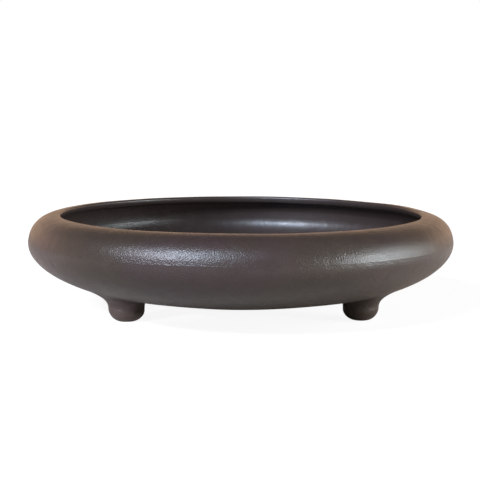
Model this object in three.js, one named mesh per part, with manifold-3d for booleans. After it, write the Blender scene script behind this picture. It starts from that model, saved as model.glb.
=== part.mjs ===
// Three-legged bonsai pot in unglazed dark stoneware, in millimetres, +Z up. The origin is on the ground
// under the middle of the pot, and -Y is the front.
// A pot like this is luted together from leather-hard clay: a floor slab that drops into a bevelled seat, a
// lower wall, a shoulder that rolls in over it, a lip coil round the mouth, and three feet, each with a coil
// wiped into the corner round its root. A thin slip joint lies between each piece and the next.

import * as THREE from 'three';
import { mergeVertices, toCreasedNormals } from 'three/addons/utils/BufferGeometryUtils.js';
import Module from 'manifold-3d';

const wasm = await Module();
wasm.setup();

// Body
const BELLY_DIAMETER = 300; // over the widest line
const BELLY_HEIGHT = 49.6; // ground to the widest line
const RIM_HEIGHT = 69.1; // ground to the crest of the lip
const MOUTH_DIAMETER = 255; // clear opening inside the lip
const UNDERSIDE_HEIGHT = 13.7; // ground to the flat underside
const FLOOR_DIAMETER = 136; // flat part of the underside
const FLOOR_THICKNESS = 8;
const WALL_THICKNESS = 7.5; // at the widest line
const LIP_THICKNESS = 5.2;
const LIP_NOSE = 1.5; // reach of the rounded lip past its crest
const LIP_WIDTH = 9; // width of the lip coil over the shoulder
const SEAT_BEVEL = 6; // run of the bevel round the floor slab
const SLIP = 0.3; // thickness of a slip joint

// How full the turned curves are: the shares of a curve's run and rise that its two handles take
const UNDERSIDE_FULLNESS = { flat: 0.632, steep: 0.421 };
const SHOULDER_FULLNESS = { flat: 0.7, steep: 0.52 };
const FOOT_FULLNESS = { flat: 0.43, steep: 0.54 };
const COLLAR_FULLNESS = { flat: 0.74, steep: 0.52 };

// Holes in the floor
const DRAIN_DIAMETER = 30;
const DRAIN_WIPE = 1.2; // bevel wiped on the drain's edges
const WIRE_HOLE_DIAMETER = 8;
const WIRE_HOLE_CIRCLE = 45; // radius that the tie-wire holes stand on
const WIRE_HOLE_ANGLES = [0, 120, 240];

// Feet, by their angle from the front
const FOOT_ANGLES = { front_left: -60, front_right: 60, rear: 180 };
const FOOT_INSET = 57.5; // from the widest line in to the middle of a foot
const FOOT_DIAMETER = 25;
const SOLE_DIAMETER = 9.2; // flat that meets the ground
const FOOT_SWELL = 7.8; // height over which the sole rounds out to the full foot
const COLLAR_REACH = 11.5; // out from the foot along the underside
const COLLAR_DROP = 7.6; // down the foot
const COLLAR_EDGE = 0.9; // depth left at the wiped rim, slip joint and all

// Looks
const FLOOR_COLOUR = 0x4a3c38;
const WALL_COLOUR = 0x4b403e;
const SHOULDER_COLOUR = 0x54433d;
const LIP_COLOUR = 0x5f4c44;
const FOOT_COLOUR = 0x4a403d;
const COLLAR_COLOUR = 0x463c39;
const CLAY_ROUGHNESS = 0.55;

// Facets
const POT_SIDES = 72;
const FOOT_SIDES = 28;
const HOLE_SIDES = 16;
const UNDERSIDE_STEPS = 12;
const SHOULDER_STEPS = 7;
const LIP_STEPS = 3;
const NOSE_STEPS = 6;
const FOOT_STEPS = 7;
const COLLAR_STEPS = 8;
const WELD = 1e-4; // vertices nearer than this are one
const CREASE = THREE.MathUtils.degToRad(35);

const bellyRadius = BELLY_DIAMETER / 2;
const floorRadius = FLOOR_DIAMETER / 2;
const floorTop = UNDERSIDE_HEIGHT + FLOOR_THICKNESS;
const crestRadius = MOUTH_DIAMETER / 2 + LIP_NOSE;
const footCircle = bellyRadius - FOOT_INSET;
const footRadius = FOOT_DIAMETER / 2;

const at = (radius, height) => new THREE.Vector2(radius, height);

// A curve that leaves its start level and reaches its end upright
function levelToUpright(start, end, { flat, steep }) {
  return new THREE.CubicBezierCurve(
    start,
    at(start.x + flat * (end.x - start.x), start.y),
    at(end.x, end.y - steep * (end.y - start.y)),
    end,
  );
}

// Points between two shares of a curve's length
function along(curve, from, to, steps) {
  const share = (i) => THREE.MathUtils.lerp(from, to, i / steps);
  return Array.from({ length: steps + 1 }, (_, i) => curve.getPointAt(share(i)));
}

// A solid of revolution about Z. A section that stays off the axis closes on itself.
function turned(section, sides) {
  const profile = section[0].x > 0 ? [...section, section[0]] : section;
  return new THREE.LatheGeometry(profile, sides).rotateX(Math.PI / 2);
}

function toSolid(geometry) {
  geometry.deleteAttribute('normal');
  geometry.deleteAttribute('uv');
  const welded = mergeVertices(geometry, WELD);
  const index = welded.index.array;
  const triVerts = [];
  for (let i = 0; i < index.length; i += 3) {
    const corners = index.slice(i, i + 3);
    if (new Set(corners).size === 3) triVerts.push(...corners);
  }
  return new wasm.Manifold(new wasm.Mesh({
    numProp: 3,
    vertProperties: welded.attributes.position.array,
    triVerts: Uint32Array.from(triVerts),
  }));
}

function toGeometry(solid) {
  const { vertProperties, triVerts } = solid.getMesh();
  const geometry = new THREE.BufferGeometry();
  geometry.setAttribute('position', new THREE.BufferAttribute(vertProperties, 3));
  geometry.setIndex(new THREE.BufferAttribute(triVerts, 1));
  return toCreasedNormals(geometry, CREASE);
}

// Turned curves of the body: the outer skin and the inner one, below and above the widest line
const underside = levelToUpright(
  at(floorRadius, UNDERSIDE_HEIGHT), at(bellyRadius, BELLY_HEIGHT), UNDERSIDE_FULLNESS,
);
const bowl = levelToUpright(
  at(floorRadius + SEAT_BEVEL, floorTop), at(bellyRadius - WALL_THICKNESS, BELLY_HEIGHT), UNDERSIDE_FULLNESS,
);
const shoulderFoot = BELLY_HEIGHT + SLIP;
const shoulderOutside = levelToUpright(
  at(crestRadius, RIM_HEIGHT), at(bellyRadius, shoulderFoot), SHOULDER_FULLNESS,
);
const shoulderInside = levelToUpright(
  at(crestRadius, RIM_HEIGHT - LIP_THICKNESS), at(bellyRadius - WALL_THICKNESS, shoulderFoot),
  SHOULDER_FULLNESS,
);
const lipShare = LIP_WIDTH / shoulderOutside.getLength();
const undersideSkin = along(underside, 0, 1, UNDERSIDE_STEPS);

// Floor slab, with its drain, the tie-wire holes and a bevelled edge that rests in the wall's seat
function makeFloorSlab() {
  const drain = DRAIN_DIAMETER / 2;
  const seatGap = SLIP * Math.hypot(SEAT_BEVEL, FLOOR_THICKNESS) / FLOOR_THICKNESS;
  const slab = toSolid(turned([
    at(drain + DRAIN_WIPE, UNDERSIDE_HEIGHT),
    at(floorRadius - seatGap, UNDERSIDE_HEIGHT),
    at(floorRadius + SEAT_BEVEL - seatGap, floorTop),
    at(drain + DRAIN_WIPE, floorTop),
    at(drain, floorTop - DRAIN_WIPE),
    at(drain, UNDERSIDE_HEIGHT + DRAIN_WIPE),
  ], POT_SIDES));
  const hole = WIRE_HOLE_DIAMETER / 2;
  const punch = (angle) => toSolid(
    new THREE.CylinderGeometry(hole, hole, 2 * FLOOR_THICKNESS, HOLE_SIDES)
      .rotateX(Math.PI / 2)
      .translate(0, -WIRE_HOLE_CIRCLE, UNDERSIDE_HEIGHT + FLOOR_THICKNESS / 2)
      .rotateZ(THREE.MathUtils.degToRad(angle)),
  );
  return toGeometry(WIRE_HOLE_ANGLES.reduce((cut, angle) => cut.subtract(punch(angle)), slab));
}

// Lower wall, from the floor's seat out to the widest line
function makeLowerWall() {
  return turned([...undersideSkin, ...along(bowl, 1, 0, UNDERSIDE_STEPS)], POT_SIDES);
}

// Shoulder, from the widest line in to the lip coil
function makeShoulder() {
  const outsideEnd = lipShare + SLIP / shoulderOutside.getLength();
  const insideEnd = lipShare + SLIP / shoulderInside.getLength();
  return turned([
    ...along(shoulderOutside, 1, outsideEnd, SHOULDER_STEPS),
    ...along(shoulderInside, insideEnd, 1, SHOULDER_STEPS),
  ], POT_SIDES);
}

// Lip coil, rounded over towards the mouth
function makeLipCoil() {
  const nose = new THREE.EllipseCurve(
    crestRadius, RIM_HEIGHT - LIP_THICKNESS / 2, LIP_NOSE, LIP_THICKNESS / 2, Math.PI / 2, 1.5 * Math.PI,
  );
  return turned([
    ...along(shoulderOutside, lipShare, 0, LIP_STEPS),
    ...along(nose, 0, 1, NOSE_STEPS).slice(1, -1),
    ...along(shoulderInside, 0, lipShare, LIP_STEPS),
  ], POT_SIDES);
}

// Everything above the slip joint under the pot, which scribes the feet and their collars to the underside
function undersideScribe() {
  const skin = undersideSkin.map((point, i) => {
    const tangent = underside.getTangentAt(i / UNDERSIDE_STEPS);
    return at(point.x + SLIP * tangent.y, point.y - SLIP * tangent.x);
  });
  return toSolid(turned([
    at(0, UNDERSIDE_HEIGHT - SLIP), ...skin, at(bellyRadius + SLIP, RIM_HEIGHT), at(0, RIM_HEIGHT),
  ], POT_SIDES));
}

// Height of the underside at a radius
function undersideAt(radius) {
  const skin = [at(0, UNDERSIDE_HEIGHT), ...undersideSkin];
  const outer = skin.findIndex((point) => point.x > radius);
  const [a, b] = [skin.at(outer - 1), skin.at(outer)];
  return THREE.MathUtils.mapLinear(radius, a.x, b.x, a.y, b.y);
}

const footHeight = undersideAt(footCircle);

// Fits what was made under a level underside to the real one, with the sole left on the ground
function fitToUnderside(geometry) {
  const points = geometry.attributes.position;
  for (let i = 0; i < points.count; i += 1) {
    const radius = Math.hypot(points.getX(i), points.getY(i));
    points.setZ(i, points.getZ(i) * undersideAt(radius) / footHeight);
  }
  return geometry;
}

// Side of a foot from its sole up, grown outwards by a joint's thickness
function footSide(grow) {
  const swell = levelToUpright(
    at(SOLE_DIAMETER / 2 + grow, 0), at(footRadius + grow, FOOT_SWELL), FOOT_FULLNESS,
  );
  return [...along(swell, 0, 1, FOOT_STEPS), at(footRadius + grow, footHeight + WALL_THICKNESS)];
}

function footRadiusAt(height) {
  const side = footSide(0);
  const upper = side.findIndex((point) => point.y > height);
  const [a, b] = [side.at(upper - 1), side.at(upper)];
  return THREE.MathUtils.mapLinear(height, a.y, b.y, a.x, b.x);
}

// A solid turned about the axis of the front foot, before it is scribed
function turnedAtFoot(section) {
  return toSolid(fitToUnderside(turned(section, FOOT_SIDES).translate(0, -footCircle, 0)));
}

function footBlank(grow) {
  return turnedAtFoot([at(0, 0), ...footSide(grow), at(0, footHeight + WALL_THICKNESS)]);
}

function makeFoot() {
  return toGeometry(footBlank(0).subtract(undersideScribe()));
}

// Coil wiped hollow into the corner round a foot, from the foot's side out to a thin rim under the pot
function makeFootCollar() {
  const rim = footRadius + COLLAR_REACH;
  const low = footHeight - COLLAR_DROP;
  const hollow = levelToUpright(
    at(rim, footHeight - COLLAR_EDGE), at(footRadiusAt(low), low), COLLAR_FULLNESS,
  );
  const coil = turnedAtFoot([
    at(0, low), ...along(hollow, 1, 0, COLLAR_STEPS),
    at(rim, footHeight + WALL_THICKNESS), at(0, footHeight + WALL_THICKNESS),
  ]);
  return toGeometry(coil.subtract(undersideScribe()).subtract(footBlank(SLIP)));
}

const pot = new THREE.Group();

function place(name, geometry, colour, angle = 0) {
  const clay = new THREE.MeshStandardMaterial({ color: colour, roughness: CLAY_ROUGHNESS, metalness: 0 });
  const mesh = new THREE.Mesh(geometry, clay);
  mesh.name = name;
  mesh.rotation.z = THREE.MathUtils.degToRad(angle);
  pot.add(mesh);
}

place('floor_slab', makeFloorSlab(), FLOOR_COLOUR);
place('lower_wall', makeLowerWall(), WALL_COLOUR);
place('shoulder', makeShoulder(), SHOULDER_COLOUR);
place('lip_coil', makeLipCoil(), LIP_COLOUR);

const foot = makeFoot();
const collar = makeFootCollar();
for (const [corner, angle] of Object.entries(FOOT_ANGLES)) {
  place(`${corner}_foot`, foot, FOOT_COLOUR, angle);
  place(`${corner}_foot_collar`, collar, COLLAR_COLOUR, angle);
}

export default pot;
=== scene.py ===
# %% [markdown]
# # A bonsai pot on three feet
#
# The real pot is a shallow bowl of dark, unglazed stoneware. It was turned on a wheel, its wall rolls in
# to a rounded lip, and it stands on three stubby feet whose roots were wiped smooth with a wet finger.
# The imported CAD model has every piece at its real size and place. This lesson models each of them again
# with a fine, unbroken surface, and gives them all one sandy clay.

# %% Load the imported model
import math

import bpy
import numpy as np
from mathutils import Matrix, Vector


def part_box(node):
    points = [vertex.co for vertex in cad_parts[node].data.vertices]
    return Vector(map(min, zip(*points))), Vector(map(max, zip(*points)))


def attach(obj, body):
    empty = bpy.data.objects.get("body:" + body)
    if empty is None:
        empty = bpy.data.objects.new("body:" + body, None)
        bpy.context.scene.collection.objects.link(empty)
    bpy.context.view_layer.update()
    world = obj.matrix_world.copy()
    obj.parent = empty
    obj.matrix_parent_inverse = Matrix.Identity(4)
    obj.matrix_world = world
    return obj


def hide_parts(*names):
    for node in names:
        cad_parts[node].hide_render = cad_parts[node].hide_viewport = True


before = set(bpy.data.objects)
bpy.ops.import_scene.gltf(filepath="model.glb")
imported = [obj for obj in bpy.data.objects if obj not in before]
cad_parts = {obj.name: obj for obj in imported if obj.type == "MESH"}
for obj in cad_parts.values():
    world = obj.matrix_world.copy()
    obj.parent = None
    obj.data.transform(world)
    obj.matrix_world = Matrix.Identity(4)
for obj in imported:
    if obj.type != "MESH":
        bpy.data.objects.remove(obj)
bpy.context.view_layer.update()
bpy.ops.object.select_all(action="DESELECT")
print("nodes:", ", ".join(sorted(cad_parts)))

# %% [markdown]
# ## Camera
#
# The camera comes first, because it decides which surfaces show. A long lens from nearly a metre away
# keeps the bowl from looking stretched, and it stands only a little above the rim, so the mouth is a thin
# ellipse with a glimpse of the far inner wall. A direction is written as an angle from the front and an
# angle above the horizon, for the camera here and for the lamps after it.

# %% Camera
MM = 0.001
CAMERA_DISTANCE = 950 * MM
CAMERA_AZIMUTH = -3.0
CAMERA_ELEVATION = 7.0
CAMERA_ROLL = 0.2
CAMERA_LENS = 99.8
CAMERA_SENSOR = 36.0
CAMERA_SHIFT = (-0.0015, -0.0004)

belly_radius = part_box("lower_wall")[1].x
belly_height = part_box("lower_wall")[1].z
pot_middle = Vector((0, 0, belly_height))


def towards(azimuth, elevation):
    """The direction from the pot to a place, by its angles from the front and above the horizon."""
    bearing = math.radians(azimuth)
    rise = math.radians(elevation)
    run = math.cos(rise)
    return Vector((math.sin(bearing) * run, -math.cos(bearing) * run, math.sin(rise)))


camera_back = towards(CAMERA_AZIMUTH, CAMERA_ELEVATION)
bpy.ops.object.camera_add(location=pot_middle + CAMERA_DISTANCE * camera_back)
camera = bpy.context.active_object
camera.rotation_euler = camera_back.to_track_quat("Z", "Y").to_euler()
camera.rotation_euler.rotate_axis("Z", math.radians(CAMERA_ROLL))
camera.data.sensor_width = CAMERA_SENSOR
camera.data.lens = CAMERA_LENS
camera.data.shift_x, camera.data.shift_y = CAMERA_SHIFT
bpy.context.scene.camera = camera
bpy.context.scene.view_settings.view_transform = "Standard"
print("camera stands at", [round(part, 3) for part in camera.location])

# %% [markdown]
# ## Shader maths
#
# A finish is a sum of many small patterns, and sums read best as sums. A `Wire` holds one output socket,
# and Python's own operators between wires and numbers add the Math nodes. Every other node comes from one
# method, which sets the node's settings first and then fills its sockets with numbers or wires.

# %% Wires and nodes
class Wire:
    """An output socket that can stand in a sum."""

    def __init__(self, bench, socket):
        self.bench = bench
        self.socket = socket

    def sum(self, operation, *terms):
        values = dict(enumerate(terms))
        return self.bench.node("ShaderNodeMath", {"operation": operation}, values)["Value"]

    def __add__(self, other):
        return self.sum("ADD", self, other)

    def __radd__(self, other):
        return self.sum("ADD", other, self)

    def __sub__(self, other):
        return self.sum("SUBTRACT", self, other)

    def __rsub__(self, other):
        return self.sum("SUBTRACT", other, self)

    def __mul__(self, other):
        return self.sum("MULTIPLY", self, other)

    def __rmul__(self, other):
        return self.sum("MULTIPLY", other, self)

    def __truediv__(self, other):
        return self.sum("DIVIDE", self, other)

    def __rtruediv__(self, other):
        return self.sum("DIVIDE", other, self)

    def __lt__(self, other):
        return self.sum("LESS_THAN", self, other)


class Bench:
    """A node tree with nothing on it yet."""

    def __init__(self, tree):
        self.tree = tree
        self.tree.nodes.clear()

    def node(self, kind, settings=None, sockets=None):
        """Adds a node with its settings, fills its sockets, and gives its outputs by name."""
        node = self.tree.nodes.new(kind)
        for name, value in (settings or {}).items():
            setattr(node, name, value)
        named = {socket.name: socket for socket in node.inputs if socket.enabled}
        numbered = dict(enumerate(node.inputs))
        for name, value in (sockets or {}).items():
            socket = (named | numbered)[name]
            if isinstance(value, Wire):
                self.tree.links.new(value.socket, socket)
            else:
                socket.default_value = value
        return {socket.name: Wire(self, socket) for socket in node.outputs if socket.enabled}

    def fade(self, value, start, end):
        """A smooth step from 0 at the start to 1 at the end."""
        sockets = {"Value": value, "From Min": start, "From Max": end}
        return self.node("ShaderNodeMapRange", {"interpolation_type": "SMOOTHSTEP"}, sockets)["Result"]

    def blend(self, share, first, second):
        """A colour between two colours."""
        sockets = {"Factor": share, "A": first, "B": second}
        return self.node("ShaderNodeMix", {"data_type": "RGBA"}, sockets)["Result"]


print("a bench is ready")

# %% [markdown]
# ## Floor
#
# The pot stands on a wide, plain floor of pale cream. Lamps alone would leave grey patches on it, so the
# camera sees it mostly as a plain white glow with a share of its real shading, which keeps the soft shadow
# under the pot. Further out the glow alone is white. Light that bounces up under the belly still meets an
# ordinary cream floor.

# %% Floor
FLOOR_SIDE = 8.0
FLOOR_CREAM = (0.56, 0.5, 0.44, 1)
FLOOR_SHADE = (0.24, 0.24, 0.24, 1)
FLOOR_GLOW = 0.9
WHITE_REACH = (0.25, 0.5)

bpy.ops.mesh.primitive_plane_add(size=FLOOR_SIDE)
ground = bpy.context.active_object
ground.name = "studio_floor"
floor_paint = bpy.data.materials.new("floor_paint")
floor_paint.use_nodes = True
ground.data.materials.append(floor_paint)
bench = Bench(floor_paint.node_tree)
rays = bench.node("ShaderNodeLightPath")
seen = rays["Is Camera Ray"]
paint = bench.blend(seen, FLOOR_CREAM, FLOOR_SHADE)
shading = bench.node("ShaderNodeBsdfDiffuse", {}, {"Color": paint})["BSDF"]
ground_place = bench.node("ShaderNodeTexCoord")["Object"]
distance = bench.node("ShaderNodeVectorMath", {"operation": "LENGTH"}, {"Vector": ground_place})["Value"]
far = bench.fade(distance, *WHITE_REACH)
white = seen * (FLOOR_GLOW + far * (1 - FLOOR_GLOW))
print("floor is", FLOOR_SIDE, "m square")

# %% [markdown]
# ## Gleam of the floor
#
# Satin clay mirrors the floor it stands on, most of all at the ends of the belly, which are seen edge on.
# Rays that the clay mirrors therefore see a warm gleam of floor behind the pot and at its right, which
# fades out round a dim patch in front. Lamps on the floor could give the same gleam, but they would also
# light the belly from below, and its underside is dark.

# %% Floor gleam
GLEAM = 0.5
GLEAM_COLOUR = (1.0, 0.82, 0.78, 1)
GLEAM_BACK = (-0.06, 0.05)
GLEAM_RIGHT = (0.07, 0.15)
GLEAM_RIGHT_SHARE = 0.62
DIM_MIDDLE = (0.03, -0.06, 0)
DIM_REACH = (0.13, 0.25)
WHITE = (1, 1, 1, 1)

dim_patch = {0: ground_place, 1: DIM_MIDDLE}
reach = bench.node("ShaderNodeVectorMath", {"operation": "DISTANCE"}, dim_patch)["Value"]
ground_axes = bench.node("ShaderNodeSeparateXYZ", {}, {"Vector": ground_place})
back_gleam = bench.fade(ground_axes["Y"], *GLEAM_BACK) * bench.fade(reach, *DIM_REACH)
right_gleam = bench.fade(ground_axes["X"], *GLEAM_RIGHT) * GLEAM_RIGHT_SHARE
gleam = (1 - (1 - back_gleam) * (1 - right_gleam)) * GLEAM
tint = bench.blend(seen, GLEAM_COLOUR, WHITE)
strength = white + rays["Is Glossy Ray"] * gleam
glow = bench.node("ShaderNodeEmission", {}, {"Color": tint, "Strength": strength})["Emission"]
surface = bench.node("ShaderNodeAddShader", {}, {0: shading, 1: glow})["Shader"]
bench.node("ShaderNodeOutputMaterial", {}, {"Surface": surface})
print("the floor gleams at", GLEAM)

# %% [markdown]
# ## Light
#
# Dark satin clay is drawn by what it mirrors. Two cool strips in front on the left, one above the other,
# make the long grainy highlight. A low strip at the right makes the short one, and two weaker ones beside
# it light the right end. They are area lamps, because a highlight on satin clay shows its lamp's width and
# height, and the camera sees none of them.

# %% Strip lamps
STRIP_DISTANCE = 1.3
WINDOW_BLUE = (0.81, 0.86, 1.0)
SKY_BLUE = (0.64, 0.81, 1.0)
COOL_WHITE = (0.88, 0.96, 1.0)
SOFT_WHITE = (0.9, 0.98, 1.0)


def add_lamp(kind, name, target, angles, distance, power, colour):
    """A lamp that faces a target from a direction, hidden from the camera. Gives its settings."""
    direction = towards(*angles)
    bpy.ops.object.light_add(type=kind, location=target + distance * direction)
    lamp = bpy.context.active_object
    lamp.name = name
    lamp.rotation_euler = direction.to_track_quat("Z", "Y").to_euler()
    lamp.data.energy = power
    lamp.data.color = colour
    lamp.visible_camera = False
    print(name, "gives", power, "W")
    return lamp.data


def add_strip(name, angles, size, power, colour):
    """A soft rectangular lamp that faces the middle of the pot."""
    strip = add_lamp("AREA", name, pot_middle, angles, STRIP_DISTANCE, power, colour)
    strip.shape = "RECTANGLE"
    strip.size, strip.size_y = size


add_strip("left_lamp", angles=(-45, 27.5), size=(0.46, 0.12), power=14.4, colour=WINDOW_BLUE)
add_strip("upper_left_lamp", angles=(-28.5, 33.5), size=(0.34, 0.16), power=11, colour=SKY_BLUE)
add_strip("right_lamp", angles=(65, 5.9), size=(0.44, 0.12), power=12.8, colour=COOL_WHITE)
add_strip("upper_right_lamp", angles=(82, 21), size=(0.4, 0.3), power=3.2, colour=SOFT_WHITE)
add_strip("side_right_lamp", angles=(92, 7), size=(0.4, 0.2), power=2.8, colour=SOFT_WHITE)

# %% [markdown]
# ## Two narrow lamps
#
# Two places that the strips leave dark are lighter on the real pot: the left foot, and the far inner wall
# right of the middle. A wide lamp would wash out the dark belly too, so each gets a spot lamp with a beam
# of a few degrees that fades out towards its edge.

# %% Spot lamps
SPOT_BULB = 20 * MM
SPOT_FADE = 1.0
FOOT_BLUE = (0.85, 0.9, 1.0)
BOWL_BLUE = (0.68, 0.8, 1.0)


def add_spot(name, target, angles, distance, beam, power, colour):
    """A narrow round lamp that lights one place, with its beam in degrees."""
    spot = add_lamp("SPOT", name, target, angles, distance, power, colour)
    spot.spot_size = math.radians(beam)
    spot.spot_blend = SPOT_FADE
    spot.shadow_soft_size = SPOT_BULB


foot_low, foot_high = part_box("front_left_foot")
foot_middle = (foot_low + foot_high) / 2
far_wall = Vector((70 * MM, 105 * MM, 45 * MM))
add_spot("foot_lamp", foot_middle, angles=(-46, 15), distance=1.0, beam=3.6, power=50, colour=FOOT_BLUE)
add_spot("bowl_lamp", far_wall, angles=(-33, 35.5), distance=1.3, beam=9, power=60, colour=BOWL_BLUE)

# %% [markdown]
# ## Room
#
# The rest of the room is dim. Behind the pot it is warm and brightest near the horizon, which gives the
# ends of the belly and the top of the lip their brown glow, and in front it is nearly dark, so the middle
# of the belly stays dark too. The camera sees none of that: to it the world is plain white.

# %% Room
ROOM_COLOUR = (1.0, 0.66, 0.45, 1)
ROOM_LIGHT = 1.42
ROOM_SHADE = 0.02
ROOM_BACK = (0.1, 0.85)
ROOM_TOP = (0.15, 0.6)

room = bpy.context.scene.world or bpy.data.worlds.new("room")
bpy.context.scene.world = room
room.use_nodes = True
bench = Bench(room.node_tree)
outlook = bench.node("ShaderNodeTexCoord")["Generated"]
room_axes = bench.node("ShaderNodeSeparateXYZ", {}, {"Vector": outlook})
behind = bench.fade(room_axes["Y"], *ROOM_BACK)
low = 1 - bench.fade(room_axes["Z"], *ROOM_TOP)
warm_back = {"Color": ROOM_COLOUR, "Strength": ROOM_SHADE + behind * low * ROOM_LIGHT}
walls = bench.node("ShaderNodeBackground", {}, warm_back)["Background"]
backdrop = bench.node("ShaderNodeBackground", {}, {"Color": WHITE, "Strength": 1.0})["Background"]
seen = bench.node("ShaderNodeLightPath")["Is Camera Ray"]
sky = bench.node("ShaderNodeMixShader", {}, {0: seen, 1: walls, 2: backdrop})["Shader"]
bench.node("ShaderNodeOutputWorld", {}, {"Surface": sky})
print("the room gives", ROOM_LIGHT, "behind the pot")

# %% [markdown]
# ## Turned curves
#
# Every line of a thrown pot bends in one sweep, so its section is drawn with a few curves that leave one
# end level and reach the other end upright. Fullness says how long a curve keeps to each of these
# directions, and with `ROUND` at both ends it is a quarter circle. A curve is worked out as many close
# points, and `along` then picks evenly spaced ones between two lengths along it.

# %% Turned curves
CURVE_POINTS = 2001
ROUND = 0.552


def level_to_upright(start, end, flat, steep):
    """A curve from a level start to an upright end. Flat and steep are its fullness at the two ends."""
    start = np.array(start)
    end = np.array(end)
    run, rise = end - start
    level_handle = start + (flat * run, 0)
    upright_handle = end - (0, steep * rise)
    t = np.linspace(0, 1, CURVE_POINTS)[:, None]
    return (
        (1 - t) ** 3 * start
        + 3 * (1 - t) ** 2 * t * level_handle
        + 3 * (1 - t) * t**2 * upright_handle
        + t**3 * end
    )


def lengths_along(curve):
    """The length along a curve at each of its points."""
    return np.concatenate([[0], np.cumsum(np.hypot(*np.diff(curve, axis=0).T))])


def along(curve, spacing, start=0.0, end=math.inf):
    """Points of a curve between two lengths along it, about as far apart as the spacing."""
    lengths = lengths_along(curve)
    end = min(end, lengths[-1])
    stations = np.linspace(start, end, 1 + max(1, round((end - start) / spacing)))
    return [(np.interp(s, lengths, curve[:, 0]), np.interp(s, lengths, curve[:, 1])) for s in stations]


def line(start, end, spacing):
    """Evenly spaced points between two points."""
    return along(np.linspace(start, end, 2), spacing)


print("a curve has", CURVE_POINTS, "points")

# %% [markdown]
# ## Section of the pot
#
# Four sweeps make the wall's section. The underside and the inner bowl rise from the floor to the widest
# line, and the two faces of the shoulder come down to it from the lip. Heights are measured on the CAD
# pieces, so the new pieces stand where the old ones do.

# %% Section of the pot
FLOOR_RADIUS = 68 * MM
SEAT_BEVEL = 6 * MM
WALL_THICKNESS = 7.5 * MM
LIP_THICKNESS = 5.2 * MM
LIP_NOSE = 1.5 * MM
MOUTH_RADIUS = 127.5 * MM
UNDERSIDE_FULLNESS = (0.632, 0.421)
BOWL_FULLNESS = (0.57, 0.48)
SHOULDER_FULLNESS = (0.7, 0.52)

underside_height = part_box("floor_slab")[0].z
floor_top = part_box("floor_slab")[1].z
rim_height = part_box("lip_coil")[1].z
crest_radius = MOUTH_RADIUS + LIP_NOSE
inner_radius = belly_radius - WALL_THICKNESS
underside = level_to_upright(
    (FLOOR_RADIUS, underside_height), (belly_radius, belly_height), *UNDERSIDE_FULLNESS
)
bowl = level_to_upright(
    (FLOOR_RADIUS + SEAT_BEVEL, floor_top), (inner_radius, belly_height), *BOWL_FULLNESS
)
shoulder_outside = level_to_upright(
    (crest_radius, rim_height), (belly_radius, belly_height), *SHOULDER_FULLNESS
)
shoulder_inside = level_to_upright(
    (crest_radius, rim_height - LIP_THICKNESS), (inner_radius, belly_height), *SHOULDER_FULLNESS
)
print("underside is", round(1000 * lengths_along(underside)[-1], 1), "mm along")

# %% [markdown]
# ## Turning on the wheel
#
# The wheel is Blender's Spin operator. A plane is added, merged to a single point and moved like a pencil
# by extruding it from point to point round the section. Spinning that outline gives a closed solid: its
# doubled points are merged and its normals are turned outwards.

# %% The wheel
PENCIL_POINT = 1 * MM
WELD = 0.005 * MM
WHEEL_STEPS = 192


def only(piece):
    """Selects one piece and nothing else."""
    bpy.ops.object.select_all(action="DESELECT")
    piece.select_set(True)
    bpy.context.view_layer.objects.active = piece


def turn(name, section, steps, axis=(0, 0)):
    """Draws a section and spins it about an upright axis. One that stays off the axis closes on itself."""
    bpy.ops.object.select_all(action="DESELECT")
    radius, height = section[0]
    bpy.ops.mesh.primitive_plane_add(size=PENCIL_POINT, location=(axis[0] + radius, axis[1], height))
    piece = bpy.context.active_object
    piece.name = name
    piece.data.name = name
    bpy.ops.object.transform_apply(location=True, rotation=False, scale=False)
    bpy.ops.object.mode_set(mode="EDIT")
    bpy.ops.mesh.select_all(action="SELECT")
    bpy.ops.mesh.merge(type="CENTER")
    outline = [*section, section[0]] if radius > 0 else section
    for across, up in np.diff(outline, axis=0):
        bpy.ops.mesh.extrude_region_move(TRANSFORM_OT_translate={"value": (across, 0, up)})
    bpy.ops.mesh.select_all(action="SELECT")
    bpy.ops.mesh.remove_doubles(threshold=WELD)
    bpy.ops.mesh.spin(steps=steps, angle=math.tau, center=(*axis, 0), axis=(0, 0, 1))
    bpy.ops.mesh.select_all(action="SELECT")
    bpy.ops.mesh.remove_doubles(threshold=WELD)
    bpy.ops.mesh.normals_make_consistent(inside=False)
    bpy.ops.object.mode_set(mode="OBJECT")
    print(name, "has", len(piece.data.polygons), "faces")
    return piece


print("the wheel takes", WHEEL_STEPS, "steps")

# %% [markdown]
# ## The wall
#
# The lower wall sweeps out from the floor to the widest line, the shoulder rolls in over it, and the lip
# is a thin roll with a rounded nose. On the real pot the joints between them were smeared away, so the
# pieces share their points along each joint and their curves run on without a corner. Only one trace of
# the turning shows: a fine ridge just above the widest line, about a tenth of a millimetre proud, where
# the highlight ends. It is part of the section, so the section has closer points there. Where two curves
# of one section meet, a slice leaves out the point that they share.

# %% Ridge line
RIDGE_LEVEL = 51.35 * MM
RIDGE_STAND = 0.13 * MM
RIDGE_SPAN = 0.8 * MM


def with_ridge(section):
    """The same section with the fine ridge standing out of it."""
    return [
        (radius + RIDGE_STAND * math.exp(-abs(height - RIDGE_LEVEL) / RIDGE_SPAN), height)
        for radius, height in section
    ]


print("the ridge runs at", round(RIDGE_LEVEL / MM, 2), "mm")

# %% Lower wall and shoulder
SKIN_SPACING = 0.6 * MM
RIDGE_SPACING = 0.14 * MM
RIDGE_ZONE = 6 * MM
INSIDE_SPACING = 1.2 * MM
LIP_WIDTH = 9 * MM

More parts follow.
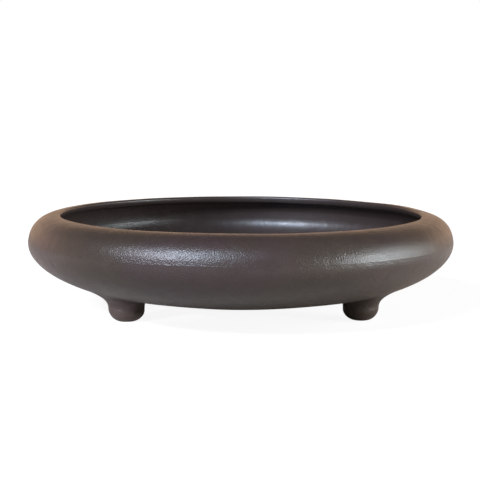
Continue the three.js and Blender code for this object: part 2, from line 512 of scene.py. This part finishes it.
ridge_start = lengths_along(shoulder_outside)[-1] - RIDGE_ZONE
pieces = {}
pieces["lower_wall"] = turn(
    "turned_lower_wall",
    with_ridge(along(underside, SKIN_SPACING)) + along(bowl, INSIDE_SPACING)[::-1],
    WHEEL_STEPS,
)
pieces["shoulder"] = turn(
    "turned_shoulder",
    with_ridge(along(shoulder_outside, RIDGE_SPACING, ridge_start)[:0:-1])
    + along(shoulder_outside, SKIN_SPACING, LIP_WIDTH, ridge_start)[::-1]
    + along(shoulder_inside, SKIN_SPACING, LIP_WIDTH),
    WHEEL_STEPS,
)

# %% Lip
LIP_SPACING = 0.3 * MM
LIP_CREST_ROUND = 1.4 * MM
LIP_UNDER_ROUND = 4.6 * MM

nose = (MOUTH_RADIUS, rim_height - LIP_CREST_ROUND)
under_radius = MOUTH_RADIUS + LIP_UNDER_ROUND
under_height = np.interp(under_radius, *shoulder_inside.T)
crest_round = level_to_upright((crest_radius, rim_height), nose, ROUND, ROUND)
under_round = level_to_upright((under_radius, under_height), nose, ROUND, ROUND)
pieces["lip_coil"] = turn(
    "turned_lip",
    along(shoulder_outside, LIP_SPACING, 0, LIP_WIDTH)[::-1]
    + along(crest_round, LIP_SPACING)[1:]
    + along(under_round, LIP_SPACING)[-2:0:-1]
    + along(shoulder_inside, LIP_SPACING, LIP_UNDER_ROUND - LIP_NOSE, LIP_WIDTH),
    WHEEL_STEPS,
)

# %% [markdown]
# ## The floor of the pot
#
# The floor is a thick slab with a drain in the middle and three small holes for the wires that tie a tree
# down. Their edges were wiped round while the clay was soft. The drain's rounded edge is part of the
# turned section. Each wire hole is cut by a small spool whose ends flare, so the cut comes out rounded.

# %% Floor slab
DRAIN_RADIUS = 15 * MM
DRAIN_ROUND = 1.8 * MM
SLAB_SPACING = 3 * MM
ROUND_STEPS = 7


def rounded_edge(radius, height, inwards, upwards):
    """A quarter round at a hole's edge, from the hole's side out to the slab's face."""
    turns = np.linspace(0, math.pi / 2, ROUND_STEPS)
    return [
        (radius + inwards * (1 - math.cos(a)), height - upwards * (1 - math.sin(a)))
        for a in turns
    ]


slab = turn(
    "turned_floor",
    line((DRAIN_RADIUS + DRAIN_ROUND, underside_height), (FLOOR_RADIUS, underside_height), SLAB_SPACING)
    + line((FLOOR_RADIUS + SEAT_BEVEL, floor_top), (DRAIN_RADIUS + DRAIN_ROUND, floor_top), SLAB_SPACING)
    + rounded_edge(DRAIN_RADIUS, floor_top, DRAIN_ROUND, DRAIN_ROUND)[-2::-1]
    + rounded_edge(DRAIN_RADIUS, underside_height, DRAIN_ROUND, -DRAIN_ROUND)[:-1],
    WHEEL_STEPS,
)
pieces["floor_slab"] = slab

# %% Wire holes
WIRE_HOLE_RADIUS = 4 * MM
WIRE_HOLE_ROUND = 0.9 * MM
WIRE_HOLE_CIRCLE = 45 * MM
WIRE_HOLE_ANGLES = (0, 120, 240)
SPOOL_STEPS = 40
SPOOL_SPARE = 2 * MM

above = rounded_edge(WIRE_HOLE_RADIUS, floor_top, WIRE_HOLE_ROUND, WIRE_HOLE_ROUND)
below = rounded_edge(WIRE_HOLE_RADIUS, underside_height, WIRE_HOLE_ROUND, -WIRE_HOLE_ROUND)
flare = WIRE_HOLE_RADIUS + WIRE_HOLE_ROUND
spool_section = [
    (0, underside_height - SPOOL_SPARE),
    (flare, underside_height - SPOOL_SPARE),
    *below[::-1],
    *above,
    (flare, floor_top + SPOOL_SPARE),
    (0, floor_top + SPOOL_SPARE),
]
for angle in WIRE_HOLE_ANGLES:
    hole_middle = WIRE_HOLE_CIRCLE * towards(angle, 0)
    spool = turn("spool", spool_section, SPOOL_STEPS, hole_middle.xy)
    only(slab)
    bpy.ops.object.modifier_add(type="BOOLEAN")
    cut = slab.modifiers[-1]
    cut.object = spool
    cut.operation = "DIFFERENCE"
    cut.solver = "EXACT"
    bpy.ops.object.modifier_apply(modifier=cut.name)
    bpy.data.objects.remove(spool)
print("the floor has", len(WIRE_HOLE_ANGLES), "wire holes and a drain")

# %% [markdown]
# ## Feet
#
# Each foot is a knob of clay with a small flat sole, and a coil wiped into the corner at its root makes it
# grow out of the belly in one hollow curve. Both are turned about the foot's own axis as if the belly
# were level, then stretched upwards by as much as the belly rises there, so that their tops lie on it.
# The thumb pulled the coil outwards, so the collar reaches far on the outer side and hardly at all on the
# inner one: its points are drawn in towards the foot by their direction.

# %% Fitting to the belly
FOOT_RADIUS = 12.3 * MM
COLLAR_INNER_SHARE = 0.1
COLLAR_FALL = 1.5


def underside_at(radius):
    """Height of the pot's underside at a radius."""
    return float(np.interp(radius, underside[:, 0], underside[:, 1]))


rear_low, rear_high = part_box("rear_foot")
foot_circle = (rear_low.y + rear_high.y) / 2
foot_axis = (0, -foot_circle)
foot_height = underside_at(foot_circle)


def fit_to_belly(piece):
    """Stretches a piece that was turned under a level belly up to the real one."""
    for point in piece.data.vertices:
        point.co.z *= underside_at(math.hypot(point.co.x, point.co.y)) / foot_height


def pull_outwards(piece):
    """Draws a collar in towards its foot, except on the outer side, which faces the front here."""
    for point in piece.data.vertices:
        out = Vector((point.co.x, point.co.y + foot_circle))
        outer = max(0, 1 - out.y / out.length) / 2
        share = COLLAR_INNER_SHARE + (1 - COLLAR_INNER_SHARE) * outer**COLLAR_FALL
        reach = FOOT_RADIUS + (out.length - FOOT_RADIUS) * share
        point.co.xy = out * reach / out.length + Vector(foot_axis)


print("the belly is", round(foot_height / MM, 1), "mm up over a foot")

# %% One foot and its collar
FOOT_STEPS = 96
FOOT_SPACING = 0.5 * MM
CAP_SPACING = 3 * MM
SOLE_RADIUS = 4.6 * MM
FOOT_SWELL = 7.8 * MM
FOOT_FULLNESS = (0.43, 0.54)
COLLAR_REACH = 19 * MM
COLLAR_FULLNESS = (0.79, 0.52)
COLLAR_SINK = 0.15 * MM

swell = level_to_upright((SOLE_RADIUS, 0), (FOOT_RADIUS, FOOT_SWELL), *FOOT_FULLNESS)
foot = turn(
    "knob_foot",
    line((0, 0), (SOLE_RADIUS, 0), CAP_SPACING)
    + along(swell, FOOT_SPACING)[1:]
    + line((FOOT_RADIUS, FOOT_SWELL), (FOOT_RADIUS, foot_height), CAP_SPACING)[1:]
    + line((FOOT_RADIUS, foot_height), (0, foot_height), CAP_SPACING)[1:],
    FOOT_STEPS,
    foot_axis,
)
rim = (FOOT_RADIUS + COLLAR_REACH, foot_height + COLLAR_SINK)
root = (FOOT_RADIUS, foot_height + 2 * COLLAR_SINK)
hollow = level_to_upright(rim, (FOOT_RADIUS, FOOT_SWELL), *COLLAR_FULLNESS)
collar = turn(
    "wiped_collar",
    along(hollow, FOOT_SPACING)[::-1]
    + line(rim, root, CAP_SPACING)[1:]
    + line(root, (FOOT_RADIUS, FOOT_SWELL), CAP_SPACING)[1:-1],
    FOOT_STEPS,
    foot_axis,
)
pull_outwards(collar)
fit_to_belly(foot)
fit_to_belly(collar)

# %% Three feet
FOOT_ANGLES = {"front_left": -60, "front_right": 60, "rear": 180}


def copy_round(piece, name, angle):
    """A copy of a piece with its own mesh, carried round the pot's axis by an angle."""
    only(piece)
    bpy.ops.object.duplicate(linked=False)
    copied = bpy.context.active_object
    copied.name = name
    copied.data.name = name
    copied.rotation_euler.z = math.radians(angle)
    bpy.ops.object.transform_apply(location=False, rotation=True, scale=False)
    return copied


for corner, angle in FOOT_ANGLES.items():
    pieces[f"{corner}_foot"] = copy_round(foot, f"knob_{corner}_foot", angle)
    pieces[f"{corner}_foot_collar"] = copy_round(collar, f"wiped_{corner}_foot_collar", angle)
for pattern in (foot, collar):
    bpy.data.objects.remove(pattern)
print("feet stand", round(1000 * foot_circle, 1), "mm from the axis")

# %% [markdown]
# ## The wiped inside, with painted shade
#
# The inside was wiped with a wet hand, which draws fine slip over the sand: it is smoother than the
# outside. Its colour is also painted darker, as painted shade inside the bowl. A texture can't tell the
# two sides of a wall apart, so each point of the turned pieces gets a mark of its own, by how far it faces
# the middle of the mouth. The feet have no mark, and count as outside.

# %% Mark the inside
MARK_SLOPE = 2

mouth_middle = Vector((0, 0, rim_height))


def mark_wiped_and_shaded(piece):
    """Writes on each point how far it faces the mouth's middle, from 0 outside to 1 inside."""
    mark = piece.data.attributes.new("wiped_and_shaded", "FLOAT", "POINT")
    for point, entry in zip(piece.data.vertices, mark.data):
        facing = point.normal.dot((mouth_middle - point.co).normalized())
        entry.value = min(1, max(0, 0.5 + MARK_SLOPE * facing))


for node in ("floor_slab", "lower_wall", "shoulder", "lip_coil"):
    mark_wiped_and_shaded(pieces[node])
    print(node, "has", len(pieces[node].data.vertices), "marks")

# %% [markdown]
# ## Clay: patterns
#
# All the clay's patterns read the Object coordinates, so they run on from piece to piece as in one lump.
# Noise gives soft clouds, and Voronoi cells give separate grains: each cell has a middle, a distance from
# it, and a chance of its own that says whether a grain lies there. Sizes are given in millimetres.

# %% Where a point is
GRAIN_CORE = 0.6

stoneware = bpy.data.materials.new("sandy_stoneware")
stoneware.use_nodes = True
bench = Bench(stoneware.node_tree)
place = bench.node("ShaderNodeTexCoord")["Object"]
axes = bench.node("ShaderNodeSeparateXYZ", {}, {"Vector": place})
level = axes["Z"] / MM
# The inside mark makes the clay smoother there, and also carries painted shade into its colour.
wiped_and_shaded = bench.node("ShaderNodeAttribute", {"attribute_name": "wiped_and_shaded"})["Fac"]


def cloud(size, detail=2.0):
    """Soft clouds about 0.5, of a size in mm."""
    sockets = {"Vector": place, "Scale": 1 / (size * MM), "Detail": detail}
    return bench.node("ShaderNodeTexNoise", {}, sockets)["Fac"]


def grains(spacing, size, share):
    """Round grains of a size in mm, one in each cell of a spacing, kept in a share of the cells."""
    sockets = {"Vector": place, "Scale": 1 / (spacing * MM)}
    cell = bench.node("ShaderNodeTexVoronoi", {}, sockets)
    chance = bench.node("ShaderNodeSeparateColor", {}, {"Color": cell["Color"]})["Red"]
    half = size / spacing / 2
    return (1 - bench.fade(cell["Distance"], GRAIN_CORE * half, half)) * (chance < share)


print("patterns are ready")

# %% [markdown]
# ## Clay: colour
#
# The kiln left the clay between purple and brown, in slow clouds as wide as a hand, with a finer, darker
# mottle in them. The inside is painted darker throughout with the same dark colour, as painted shade. Pale
# sand and dark iron show as specks. The crest of the lip and the soles, where the pot is lifted and set
# down, are rubbed a little paler. The feet are painted paler too: partly dust, partly painted light that
# stands in for the lamps' light falling on them.

# %% Clay colour
PURPLE = (0.053, 0.034, 0.032, 1)
BROWN = (0.051, 0.036, 0.027, 1)
DARK_MOTTLE_AND_SHADE = (0.033, 0.022, 0.019, 1)
SAND = (0.11, 0.085, 0.068, 1)
IRON = (0.016, 0.011, 0.01, 1)
KILN_EDGES = (0.38, 0.62)
MOTTLE_EDGES = (0.35, 0.75)
MOTTLE_SHARE = 0.3
INSIDE_SHADE_SHARE = 0.85
SAND_SHARE = 0.25
IRON_SHARE = 0.3

kiln = bench.fade(cloud(size=70), *KILN_EDGES)
mottle = bench.fade(cloud(size=11, detail=3.0), *MOTTLE_EDGES)
body = bench.blend(kiln, PURPLE, BROWN)
# Darker mottle, plus painted shade: the whole inside is painted darker with the same dark colour.
body = bench.blend(mottle * MOTTLE_SHARE + wiped_and_shaded * INSIDE_SHADE_SHARE, body, DARK_MOTTLE_AND_SHADE)
sand = grains(spacing=2.2, size=0.5, share=0.4)
iron = grains(spacing=4.6, size=0.5, share=0.3)
body = bench.blend(sand * SAND_SHARE, body, SAND)
body = bench.blend(iron * IRON_SHARE, body, IRON)
print("the clay goes from", PURPLE[:3], "to", BROWN[:3])

# %% Wear and painted light
RUBBED_AND_LIT = (0.1, 0.072, 0.057, 1)
CREST_LEVELS = (68.5, 69.4)
SOLE_LEVELS = (0.15, 0.9)
DUST_AND_LIGHT_LEVELS = (5, 16)
CREST_WEAR = 0.35
SOLE_WEAR = 0.35
DUST_AND_LIGHT_SHARE = 0.25

crest = bench.fade(level, *CREST_LEVELS)
sole = 1 - bench.fade(level, *SOLE_LEVELS)
# Painted light, partly dust: the clay is painted paler below 16 mm, most of all on the feet.
dust_and_light = 1 - bench.fade(level, *DUST_AND_LIGHT_LEVELS)
wear_and_light = crest * CREST_WEAR + dust_and_light * DUST_AND_LIGHT_SHARE + sole * SOLE_WEAR
clay_colour = bench.blend(wear_and_light, body, RUBBED_AND_LIT)
print("wear turns the clay towards", RUBBED_AND_LIT[:3])

# %% [markdown]
# ## Clay: relief
#
# The surface is like the skin of a pear: low bumps about a millimetre wide, where sand lies just under the
# skin, and a finer tooth between them. They break a highlight into sparkles. Wider, shallow hollows keep
# the highlight's outline uneven. The heights are added up in millimetres, and one Bump node turns them
# into a slope.

# %% Clay relief
SKIN_HEIGHT = 0.22
TOOTH_HEIGHT = 0.03
HOLLOW_HEIGHT = 0.3
SPECK_HEIGHT = 0.01
WIPED_SMOOTHNESS = 0.9

skin = cloud(size=0.9, detail=1.0) * SKIN_HEIGHT
tooth = cloud(size=0.35, detail=1.0) * TOOTH_HEIGHT
hollows = cloud(size=9) * HOLLOW_HEIGHT
specks = (sand - iron) * SPECK_HEIGHT
relief = (skin + tooth) * (1 - wiped_and_shaded * WIPED_SMOOTHNESS) + hollows + specks
slope = bench.node("ShaderNodeBump", {}, {"Height": relief, "Distance": MM})["Normal"]
print("the skin's noise spans", SKIN_HEIGHT, "mm")

# %% [markdown]
# ## Clay: sheen
#
# Unglazed stoneware has a soft satin sheen, with no glaze or coat over it. It changes a little from place
# to place, and it is slightly duller inside and much duller on the soles, which rub on the shelf.

# %% Clay sheen
ROUGHNESS = 0.36
ROUGHNESS_DRIFT = 0.16
WIPED_DULLNESS = 0.05
SOLE_DULLNESS = 0.25

drift = (cloud(size=6) - 0.5) * ROUGHNESS_DRIFT
roughness = ROUGHNESS + drift + wiped_and_shaded * WIPED_DULLNESS + sole * SOLE_DULLNESS
sockets = {"Base Color": clay_colour, "Roughness": roughness, "Normal": slope}
bare_clay = bench.node("ShaderNodeBsdfPrincipled", {}, sockets)["BSDF"]
bench.node("ShaderNodeOutputMaterial", {}, {"Surface": bare_clay})
print("the clay has", len(stoneware.node_tree.nodes), "nodes")

# %% [markdown]
# ## Finishing the pieces
#
# A hand-turned pot is never perfectly round. One slow, three-way noise moves all the pieces alike by a few
# tenths of a millimetre, so that they still meet. Then each piece is shaded smooth except across real
# corners, gets the clay, and stands in for its CAD node.

# %% Finish
HAND_WOBBLE = 0.5 * MM
HAND_SPAN = 45 * MM
CORNER = math.radians(40)

hand = bpy.data.textures.new("hand", type="CLOUDS")
hand.cloud_type = "COLOR"
hand.noise_scale = HAND_SPAN
hand.noise_depth = 0
for node, piece in pieces.items():
    only(piece)
    bpy.ops.object.modifier_add(type="DISPLACE")
    wobble = piece.modifiers[-1]
    wobble.texture = hand
    wobble.texture_coords = "LOCAL"
    wobble.direction = "RGB_TO_XYZ"
    wobble.strength = HAND_WOBBLE
    bpy.ops.object.modifier_apply(modifier=wobble.name)
    bpy.ops.object.shade_smooth_by_angle(angle=CORNER)
    piece.data.materials.append(stoneware)
    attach(piece, "root")
    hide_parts(node)
print(len(pieces), "pieces are finished")
